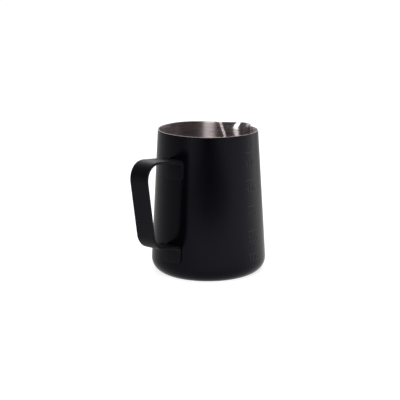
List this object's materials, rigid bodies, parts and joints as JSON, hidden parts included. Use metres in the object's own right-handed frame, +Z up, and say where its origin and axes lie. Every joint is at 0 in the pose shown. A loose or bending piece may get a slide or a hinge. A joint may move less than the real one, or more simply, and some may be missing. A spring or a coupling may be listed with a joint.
{
  "type": "milk frothing pitcher",
  "caption": "Open steel milk frothing pitcher with a V-shaped pouring spout, black coated outside, bent strap handle and a raised volume scale.",
  "frame": {"origin": "centre of the standing ring on the plane that the pitcher stands on, on the vessel's axis", "axes": "+Z up along the vessel's axis, +X towards the spout, -X towards the handle, -Y the side with the scale"},
  "size_m": [0.1291, 0.088, 0.1109],
  "materials": {
    "vessel_steel": "brushed round the inside, bare ground rim",
    "black_coat": "satin black baked coat",
    "coated_strap": "satin black baked coat on steel strap",
    "weld_steel": "fused spot weld metal",
    "scale_marks": "raised marks in the black coat, slightly glossier"
  },
  "bodies": {
    "root": {"body_shell": "vessel_steel", "outer_coat": "black_coat", "handle_strap": "coated_strap", "upper_weld_nuggets": "weld_steel", "lower_weld_nuggets": "weld_steel", "scale_ticks": "scale_marks"}
  },
  "joints": []
}
